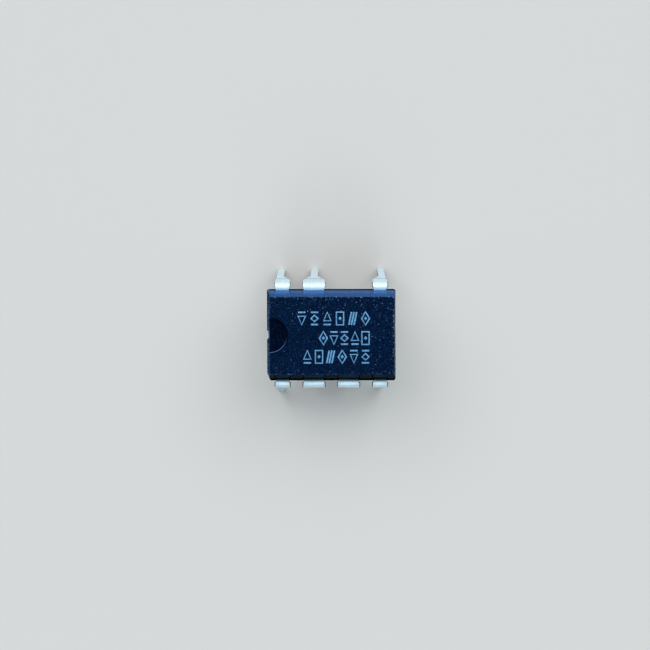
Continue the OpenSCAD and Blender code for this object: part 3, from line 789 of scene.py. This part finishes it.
def flash_tree(finish):
    """Tree that draws a thin ribbon whose outer edge wanders in and out."""
    tree, given = new_tree("flash_lip", [
        ("Length", "NodeSocketFloat"), ("Reach", "NodeSocketFloat"), ("Depth", "NodeSocketFloat"),
        ("Thickness", "NodeSocketFloat"), ("Lump", "NodeSocketFloat"), ("Steps", "NodeSocketInt"),
        ("Middle", "NodeSocketVector"), ("Turn", "NodeSocketFloat"),
    ])
    ribbon = add(tree, "GeometryNodeMeshGrid", {
        "Size X": given["Depth"], "Size Y": given["Length"],
        "Vertices X": 2, "Vertices Y": given["Steps"],
    }).outputs["Mesh"]
    place = add(tree, "GeometryNodeInputPosition").outputs["Position"]
    along = add(tree, "ShaderNodeSeparateXYZ", {"Vector": place}).outputs
    ragged = add(tree, "ShaderNodeTexNoise", {
        "Vector": add(tree, "ShaderNodeCombineXYZ", {"Y": along["Y"]}).outputs["Vector"],
        "Scale": maths(tree, "DIVIDE", 1.0, given["Lump"]), "Detail": 4.0, "Roughness": 0.7,
    }).outputs["Fac"]
    grown = ramp(tree, ragged, (0.38, 0.7), (0.0, given["Reach"]))
    is_outer = add(tree, "FunctionNodeCompare", {0: along["X"], 1: 0.0},
                   data_type="FLOAT", operation="GREATER_THAN").outputs["Result"]
    edged = add(tree, "GeometryNodeSetPosition", {
        "Geometry": ribbon, "Selection": is_outer,
        "Offset": add(tree, "ShaderNodeCombineXYZ", {"X": grown}).outputs["Vector"],
    }).outputs["Geometry"]
    moved = add(tree, "GeometryNodeTransform", {
        "Geometry": edged, "Translation": given["Middle"],
        "Rotation": add(tree, "ShaderNodeCombineXYZ", {"Z": given["Turn"]}).outputs["Vector"],
    }).outputs["Geometry"]
    thick = add(tree, "GeometryNodeExtrudeMesh", {
        "Mesh": moved, "Offset Scale": given["Thickness"], "Individual": False,
    }).outputs["Mesh"]
    real = add(tree, "GeometryNodeRealizeInstances", {"Geometry": thick}).outputs["Geometry"]
    skinned = add(tree, "GeometryNodeSetMaterial", {"Geometry": real, "Material": finish})
    add(tree, "NodeGroupOutput", {"Geometry": skinned.outputs["Geometry"]})
    return tree


def flash(finish):
    """Both lips: the long one next to lead 4, and the torn one where the gate broke off."""
    tree = flash_tree(finish)
    for lip in FLASH_LIPS:
        carrier = new_object("flash_blank", bmesh.new())
        edge_x = (body_high.x / MM + lip["edge"] - FLASH_IN / 2) * math.cos(lip["turn"])
        use_tree(carrier, tree, {
            "Length": (lip["high"] - lip["low"]) * MM,
            "Reach": lip["reach"] * MM,
            "Depth": FLASH_IN * MM,
            "Thickness": FLASH_T * MM,
            "Lump": FLASH_LUMP * MM,
            "Steps": round((lip["high"] - lip["low"]) / FLASH_STEP),
            "Middle": (edge_x * MM, (lip["low"] + lip["high"]) / 2 * MM, SHEET_Z * MM),
            "Turn": lip["turn"],
        })
        finish_piece(applied(carrier, lip["name"]), "mould_compound")


# Marking: three rows of simple figures, which end at one line
MARK_ROWS = [
    {"count": 6, "pitch": 0.92, "middle": 1.25, "turn": 0},
    {"count": 5, "pitch": 0.76, "middle": -0.17, "turn": 2},
    {"count": 6, "pitch": 0.84, "middle": -1.52, "turn": 4},
]
MARK_END = 2.78
MARK_H = 1.05
MARK_W = 0.62
MARK_STROKE = 0.12
MARK_FILM = 0.012


def marking_tree(ink):
    """Tree that sets simple figures in a row and picks the next of them at each place."""
    tree, given = new_tree("marking_row", [
        ("Count", "NodeSocketInt"), ("Pitch", "NodeSocketFloat"), ("Row end", "NodeSocketVector"),
        ("Height", "NodeSocketFloat"), ("Width", "NodeSocketFloat"), ("Stroke", "NodeSocketFloat"),
        ("Film", "NodeSocketFloat"), ("First figure", "NodeSocketInt"),
    ])

    def point(x, y):
        return add(tree, "ShaderNodeCombineXYZ", {
            "X": maths(tree, "MULTIPLY", given["Width"], x),
            "Y": maths(tree, "MULTIPLY", given["Height"], y),
        }).outputs["Vector"]

    stroke = add(tree, "GeometryNodeCurvePrimitiveQuadrilateral", {
        "Width": given["Stroke"], "Height": given["Film"],
    }).outputs["Curve"]

    def drawn(*curves):
        joined = add(tree, "GeometryNodeJoinGeometry")
        for curve in curves[::-1]:
            tree.links.new(curve, joined.inputs["Geometry"])
        swept = add(tree, "GeometryNodeCurveToMesh", {
            "Curve": joined.outputs["Geometry"], "Profile Curve": stroke, "Fill Caps": True,
        }).outputs["Mesh"]
        return add(tree, "GeometryNodeGeometryToInstance", {"Geometry": swept}).outputs["Instances"]

    def line(x0, y0, x1, y1):
        return add(tree, "GeometryNodeCurvePrimitiveLine", {
            "Start": point(x0, y0), "End": point(x1, y1),
        }).outputs["Curve"]

    def ring(sides, wide, tall, turn, lift=0.0):
        circle = add(tree, "GeometryNodeCurvePrimitiveCircle", {"Resolution": sides, "Radius": 1.0})
        size = add(tree, "ShaderNodeCombineXYZ", {
            "X": maths(tree, "MULTIPLY", given["Width"], wide),
            "Y": maths(tree, "MULTIPLY", given["Height"], tall),
        }).outputs["Vector"]
        turned = add(tree, "GeometryNodeTransform", {
            "Geometry": circle.outputs["Curve"], "Rotation": (0, 0, turn),
        }).outputs["Geometry"]
        return add(tree, "GeometryNodeTransform", {
            "Geometry": turned, "Scale": size, "Translation": point(0.0, lift),
        }).outputs["Geometry"]

    # Diamond, slanted strokes, box, triangle on a bar, diamond between bars, and hanging triangle,
    # in shares of a figure's width and height
    up = math.pi / 2
    figures = [
        drawn(ring(4, 0.46, 0.46, 0.0), ring(4, 0.11, 0.08, 0.0)),
        drawn(
            line(-0.46, -0.44, -0.14, 0.44), line(-0.16, -0.44, 0.16, 0.44),
            line(0.14, -0.44, 0.46, 0.44),
        ),
        drawn(ring(4, 0.6, 0.62, up / 2), ring(4, 0.11, 0.08, 0.0)),
        drawn(ring(3, 0.5, 0.4, up, 0.04), line(-0.42, -0.42, 0.42, -0.42)),
        drawn(ring(4, 0.42, 0.22, 0.0), line(-0.42, -0.42, 0.42, -0.42), line(-0.42, 0.42, 0.42, 0.42)),
        drawn(ring(3, 0.5, 0.4, -up, -0.04), line(-0.42, 0.42, 0.42, 0.42)),
    ]
    choice = add(tree, "GeometryNodeJoinGeometry")
    for figure in figures[::-1]:
        tree.links.new(figure, choice.inputs["Geometry"])
    step = add(tree, "ShaderNodeCombineXYZ", {"X": maths(tree, "MULTIPLY", given["Pitch"], -1.0)})
    places = add(tree, "GeometryNodeMeshLine", {
        "Count": given["Count"], "Start Location": given["Row end"], "Offset": step.outputs["Vector"],
    }).outputs["Mesh"]
    index = add(tree, "GeometryNodeInputIndex").outputs["Index"]
    which = maths(tree, "MODULO", maths(tree, "ADD", index, given["First figure"]), float(len(figures)))
    row = add(tree, "GeometryNodeInstanceOnPoints", {
        "Points": places, "Instance": choice.outputs["Geometry"], "Pick Instance": True,
        "Instance Index": which,
    }).outputs["Instances"]
    real = add(tree, "GeometryNodeRealizeInstances", {"Geometry": row}).outputs["Geometry"]
    inked = add(tree, "GeometryNodeSetMaterial", {"Geometry": real, "Material": ink})
    add(tree, "NodeGroupOutput", {"Geometry": inked.outputs["Geometry"]})
    return tree


def marking():
    """Rows of pale marking on the top face."""
    tree = marking_tree(marking_ink())
    for number, row in enumerate(MARK_ROWS):
        carrier = new_object("marking_points", bmesh.new())
        use_tree(carrier, tree, {
            "Count": row["count"],
            "Pitch": row["pitch"] * MM,
            "Row end": ((MARK_END - MARK_W / 2) * MM, row["middle"] * MM, body_high.z),
            "Height": MARK_H * MM,
            "Width": MARK_W * MM,
            "Stroke": MARK_STROKE * MM,
            "Film": MARK_FILM * MM,
            "First figure": row["turn"],
        })
        finish_piece(applied(carrier, f"marking_row_{number + 1}"), "mould_compound")


# Inner pieces keep their solids and get their finishes
INNER = [
    # Soft solder, reflowed: a dull grey metal
    ("solder", ("#8A8D90", "#B5B8BA", 0.08, 1.0, 0.45), ["switch_solder"]),
    # Epoxy with silver flake: a pale grey paste with fine flakes
    ("silver_adhesive", ("#8E8D88", "#C4C3BC", 0.03, 0.6, 0.6), ["control_adhesive"]),
    # Polished and metallised silicon: a dark, smooth blue-grey
    ("silicon", ("#3A3F4B", "#565D6C", 0.12, 0.5, 0.2), ["switch_die", "control_die"]),
    # Drawn aluminium wire: a pale, satin metal
    ("aluminium_wire", ("#C3C5C8", "#DCDEE0", 0.05, 1.0, 0.35),
     ["source_wire_left", "source_wire_right"]),
    # Drawn gold wire: a bright yellow metal
    ("gold_wire", ("#E0B45A", "#F2CF80", 0.03, 1.0, 0.2),
     ["sense_wire", "gate_wire", "startup_wire", "line_sense_wire", "ground_wire",
      "feedback_wire", "supply_wire"]),
]


def inner_pieces():
    """Gives each inner solid its finish and its slot."""
    for slot_name, finish, nodes in INNER:
        made = inner_finish(slot_name, *finish)
        for name in nodes:
            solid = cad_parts[name]
            solid.data.materials.clear()
            solid.data.materials.append(made)


def floor():
    """Plain pale floor under the lead tips."""
    half = 1.5
    bm = bmesh.new()
    bmesh.ops.create_grid(bm, x_segments=1, y_segments=1, size=half)
    made = new_object("floor", bm)
    paper, _, shader = new_material("pale_floor")
    shader.inputs["Base Color"].default_value = linear("#D6D2CC")
    shader.inputs["Roughness"].default_value = 0.9
    shader.inputs["Specular IOR Level"].default_value = 0.2
    made.data.materials.append(paper)


def lamp(name, place, target, wide, tall, brightness, colour):
    """A soft rectangular lamp, aimed at a point. Its face has one brightness at any size."""
    light = bpy.data.lights.new(name, "AREA")
    light.shape = "RECTANGLE"
    light.size = wide
    light.size_y = tall
    light.energy = brightness * math.pi * wide * tall
    light.color = linear(colour)[:3]
    made = bpy.data.objects.new(name, light)
    made.location = place
    made.rotation_euler = (Vector(target) - Vector(place)).to_track_quat("-Z", "Y").to_euler()
    bpy.context.scene.collection.objects.link(made)


def studio():
    """Soft light from two windows at the rear and a card in front, in a dim pale room."""
    world = bpy.data.worlds.new("pale_room")
    world.use_nodes = True
    tree = world.node_tree
    way = add(tree, "ShaderNodeSeparateXYZ", {
        "Vector": add(tree, "ShaderNodeTexCoord").outputs["Generated"],
    }).outputs
    rear = add(tree, "ShaderNodeMapRange", {
        "Value": way["Y"], "From Min": -0.6, "From Max": 0.7, "To Min": 0.08, "To Max": 1.1,
    }, interpolation_type="SMOOTHSTEP").outputs["Result"]
    # The room is dim straight above, where the picture is taken from
    above = add(tree, "ShaderNodeMapRange", {
        "Value": way["Z"], "From Min": 0.8, "From Max": 0.98, "To Min": 1.0, "To Max": 0.25,
    }, interpolation_type="SMOOTHSTEP").outputs["Result"]
    level = maths(tree, "MULTIPLY", rear, above)
    sky = tree.nodes["Background"]
    sky.inputs["Color"].default_value = linear("#EFF7FF")
    tree.links.new(level, sky.inputs["Strength"])
    bpy.context.scene.world = world
    centre = (0, 0, SHEET_Z * MM)
    for name, x in (("rear_left_window", -0.17), ("rear_right_window", 0.17)):
        lamp(name, (x, 0.22, 0.4), centre, wide=0.3, tall=0.42, brightness=1.7, colour="#F8FBFF")
    lamp("front_card", (0, -0.3, 0.34), centre, wide=0.28, tall=0.42, brightness=2.5, colour="#E2F4FF")


def camera():
    """Nearly straight above, with the chip a little right of and below the picture's middle."""
    seen = bpy.data.cameras.new("camera")
    seen.sensor_width = 36
    seen.lens = 75.38
    seen.clip_start = 0.005
    seen.clip_end = 10
    made = bpy.data.objects.new("camera", seen)
    made.location = (-0.25 * MM, 4.794 * MM, 105.6 * MM)
    made.rotation_euler = tuple(math.radians(a) for a in (-2.343, 0.116, -0.069))
    bpy.context.scene.collection.objects.link(made)
    bpy.context.scene.camera = made


finish_piece(mould_body(moulded_epoxy()), "mould_compound", "mould_body")
flash(torn_epoxy())
leads(tinned_copper(), sheared_copper())
marking()
inner_pieces()
floor()
studio()
camera()
bpy.context.scene.view_settings.view_transform = "Standard"
